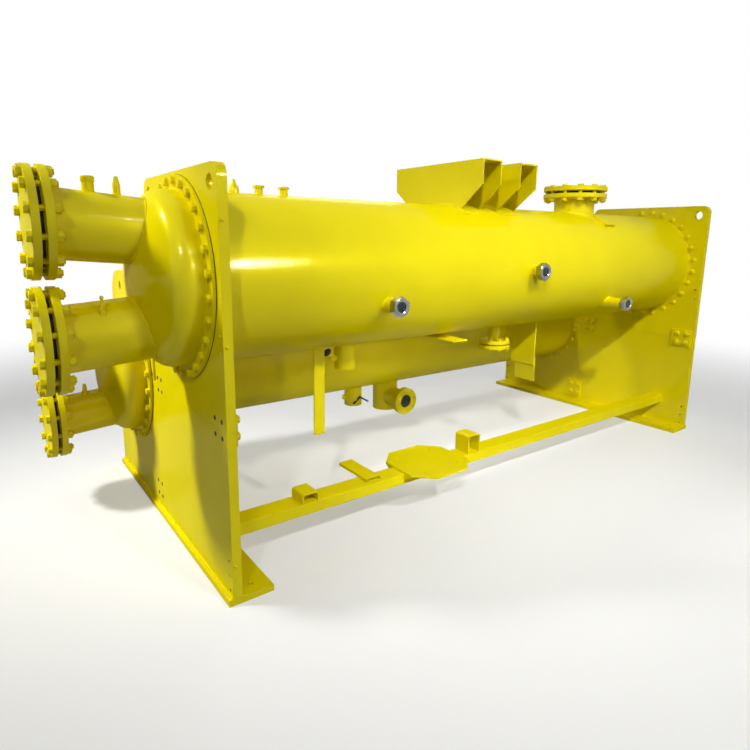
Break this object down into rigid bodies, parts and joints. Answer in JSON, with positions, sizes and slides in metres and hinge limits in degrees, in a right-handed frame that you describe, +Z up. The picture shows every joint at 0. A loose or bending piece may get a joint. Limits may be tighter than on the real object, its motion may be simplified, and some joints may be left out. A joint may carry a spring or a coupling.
{
  "type": "shell and tube heat exchanger",
  "caption": "Yellow shell and tube heat exchanger set: parallel horizontal vessels on shared end plates, with flanged water nozzles, mitred box beams and a cross channel.",
  "frame": {"origin": "bottom centre of the whole set's bounding box, on the floor", "axes": "+X along the shells, away from the water nozzles; +Y from the upper front shell towards the lower rear shell; +Z up"},
  "size_m": [5.238, 2.098, 2.18],
  "materials": {
    "yellow_paint": "gloss",
    "gasket_rubber": "matt",
    "sight_chrome": "polished",
    "sight_glass": "polished"
  },
  "bodies": {
    "root": {"beam_pads": "yellow_paint", "bottom_blind_flange": "yellow_paint", "bottom_nozzle": "yellow_paint", "corner_clip": "yellow_paint", "couplings": "yellow_paint", "cross_channel": "yellow_paint", "flat_tube": "yellow_paint", "front_blind_flanges": "yellow_paint", "front_drain": "yellow_paint", "front_lower_nozzle": "yellow_paint", "front_return_head": "yellow_paint", "front_shell": "yellow_paint", "front_upper_nozzle": "yellow_paint", "front_water_box": "yellow_paint", "hanger_bracket": "yellow_paint", "hanging_strap": "yellow_paint", "left_box_beam": "yellow_paint", "left_foot": "yellow_paint", "left_front_leg_plate": "yellow_paint", "left_front_tube_sheet": "yellow_paint", "left_rear_tube_sheet": "yellow_paint", "pedestal_plate": "yellow_paint", "rear_blind_flanges": "yellow_paint", "rear_drain_pot": "yellow_paint", "rear_lower_nozzle": "yellow_paint", "rear_return_head": "yellow_paint", "rear_shell": "yellow_paint", "rear_sump": "yellow_paint", "rear_upper_nozzle": "yellow_paint", "rear_water_box": "yellow_paint", "right_box_beam": "yellow_paint", "right_foot": "yellow_paint", "right_front_leg_plate": "yellow_paint", "right_front_tube_sheet": "yellow_paint", "right_rear_tube_sheet": "yellow_paint", "shell_nozzle_gaskets": "gasket_rubber", "sight_glass_lenses": "sight_glass", "sight_glass_nuts": "sight_chrome", "sight_glass_stubs": "yellow_paint", "splice_plates": "yellow_paint", "stub_tubes": "yellow_paint", "top_blind_flange": "yellow_paint", "top_nozzle": "yellow_paint", "under_shelf": "yellow_paint", "water_nozzle_gaskets": "gasket_rubber"}
  },
  "joints": []
}
